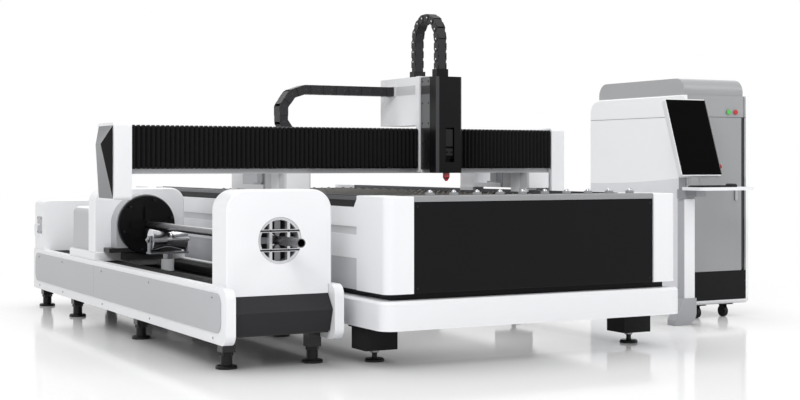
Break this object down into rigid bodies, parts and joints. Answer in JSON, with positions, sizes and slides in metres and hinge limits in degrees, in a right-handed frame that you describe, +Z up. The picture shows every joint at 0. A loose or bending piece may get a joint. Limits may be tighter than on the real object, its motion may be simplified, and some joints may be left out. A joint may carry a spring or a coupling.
{
  "type": "fiber laser cutting machine",
  "caption": "Fiber laser cutting machine with a slatted sheet bed, a gantry with a cutting head, a side tube unit with two chucks, a control cabinet and an operator console.",
  "frame": {"origin": "on the floor at the centre of the whole footprint", "axes": "+X to the right along the gantry, +Y from the loading front to the rear, +Z up"},
  "size_m": [4.704, 4.428, 2.071],
  "materials": {
    "white_paint": "satin powder coat",
    "gray_paint": "satin powder coat",
    "black_paint": "fine texture powder coat",
    "black_plastic": "moulded",
    "motor_black": "matt",
    "bellows_cloth": "coated cloth",
    "bright_steel": "ground",
    "slat_steel": "cut sheet",
    "zinc_steel": "zinc plated",
    "head_metal": "anodised",
    "red_plastic": "gloss",
    "green_plastic": "gloss",
    "screen_glass": "gloss"
  },
  "bodies": {
    "base": {"bed_frame": "black_paint", "base_band": "white_paint", "corner_posts": "white_paint", "front_panel": "black_paint", "side_panels": "white_paint", "ball_strip": "gray_paint", "transfer_balls": "bright_steel", "cutting_slats": "slat_steel", "foot_brackets": "black_paint", "levelling_feet": "zinc_steel", "guide_rails": "bright_steel", "tube_frame": "black_paint", "tube_side_panels": "gray_paint", "tube_apron": "black_paint", "way_covers": "bellows_cloth", "front_housing": "white_paint", "end_box": "white_paint", "cabinet_sides": "white_paint", "cabinet_body": "black_paint", "cabinet_cap": "gray_paint", "casters": "zinc_steel", "console_stand": "white_paint"},
    "gantry": {"gantry_beam": "gray_paint", "saddles": "white_paint", "drive_motors": "motor_black", "end_covers": "white_paint", "end_cap": "gray_paint", "cross_rails": "bright_steel", "bellows_left": "bellows_cloth", "bellows_right": "bellows_cloth", "x_chain": "black_plastic"},
    "carriage": {"carriage_plate": "white_paint", "carriage_cover": "white_paint", "z_slide": "black_paint", "chain_brackets": "gray_paint", "z_chain": "black_plastic"},
    "head": {"head_cover": "black_paint", "cutting_head": "head_metal", "nozzle": "red_plastic"},
    "rear_chuck": {"rear_carriage": "white_paint", "rear_housing": "white_paint", "motor_cover": "white_paint", "rear_boss": "gray_paint"},
    "rear_rotor": {"rear_disc": "black_paint", "work_tube": "bright_steel"},
    "front_rotor": {"front_rotor": "bright_steel", "front_jaws": "bright_steel"},
    "roller_support": {"roller_bracket": "zinc_steel"},
    "roller": {"roller": "zinc_steel"},
    "console_top": {"console_hub": "gray_paint", "console_tray": "white_paint", "keyboard": "black_plastic", "mouse": "black_plastic"},
    "screen": {"screen_frame": "white_paint", "screen_glass": "screen_glass"},
    "emergency_button": {"emergency_button": "red_plastic"},
    "door": {"cabinet_door": "gray_paint"},
    "door_handle": {"door_handle": "bright_steel"},
    "start_button": {"start_button": "green_plastic"},
    "stop_button": {"stop_button": "red_plastic"}
  },
  "joints": [
    {"name": "gantry_slide", "type": "slide", "parent": "base", "child": "gantry", "axis": [0, 1, 0], "range_m": [-0.95, 1.75]},
    {"name": "carriage_slide", "type": "slide", "parent": "gantry", "child": "carriage", "axis": [1, 0, 0], "range_m": [-1.52, 0.62], "deforming": ["bellows_left", "bellows_right", "x_chain"]},
    {"name": "head_slide", "type": "slide", "parent": "carriage", "child": "head", "axis": [0, 0, 1], "range_m": [-0.05, 0.05], "deforming": ["z_chain"]},
    {"name": "rear_chuck_slide", "type": "slide", "parent": "base", "child": "rear_chuck", "axis": [0, 1, 0], "range_m": [-0.28, 0.45], "deforming": ["way_covers"]},
    {"name": "rear_chuck_spin", "type": "hinge", "parent": "rear_chuck", "child": "rear_rotor", "pos_m": [-1.674, 0.4, 0.687], "axis": [0, 1, 0], "continuous": true},
    {"name": "front_chuck_spin", "type": "hinge", "parent": "base", "child": "front_rotor", "pos_m": [-1.674, -1.8, 0.687], "axis": [0, 1, 0], "continuous": true},
    {"name": "roller_lift", "type": "slide", "parent": "base", "child": "roller_support", "axis": [0, 0, 1], "range_m": [-0.03, 0.008]},
    {"name": "roller_spin", "type": "hinge", "parent": "roller_support", "child": "roller", "pos_m": [-1.674, -0.026, 0.605], "axis": [1, 0, 0], "continuous": true},
    {"name": "console_swivel", "type": "hinge", "parent": "base", "child": "console_top", "pos_m": [1.6, -1.266, 0.9], "axis": [0, 0, 1], "range_deg": [-35, 2]},
    {"name": "screen_tilt", "type": "hinge", "parent": "console_top", "child": "screen", "pos_m": [1.6, -1.335, 1.046], "axis": [1, 0, 0], "range_deg": [-2, 15]},
    {"name": "emergency_push", "type": "slide", "parent": "screen", "child": "emergency_button", "axis": [-1, 0, 0], "range_m": [0, 0.005], "stiffness_N_per_m": 800},
    {"name": "door_swing", "type": "hinge", "parent": "base", "child": "door", "pos_m": [1.797, -1.0475, 0.88], "axis": [0, 0, 1], "range_deg": [-40, 0]},
    {"name": "handle_turn", "type": "hinge", "parent": "door", "child": "door_handle", "pos_m": [2.225, -1.056, 0.881], "axis": [0, 1, 0], "range_deg": [0, 90]},
    {"name": "start_push", "type": "slide", "parent": "base", "child": "start_button", "axis": [0, 1, 0], "range_m": [0, 0.006], "stiffness_N_per_m": 600},
    {"name": "stop_push", "type": "slide", "parent": "base", "child": "stop_button", "axis": [0, 1, 0], "range_m": [0, 0.006], "stiffness_N_per_m": 600}
  ],
  "couplings": [
    {"joint": "front_chuck_spin", "follows": "rear_chuck_spin", "ratio": 1}
  ]
}
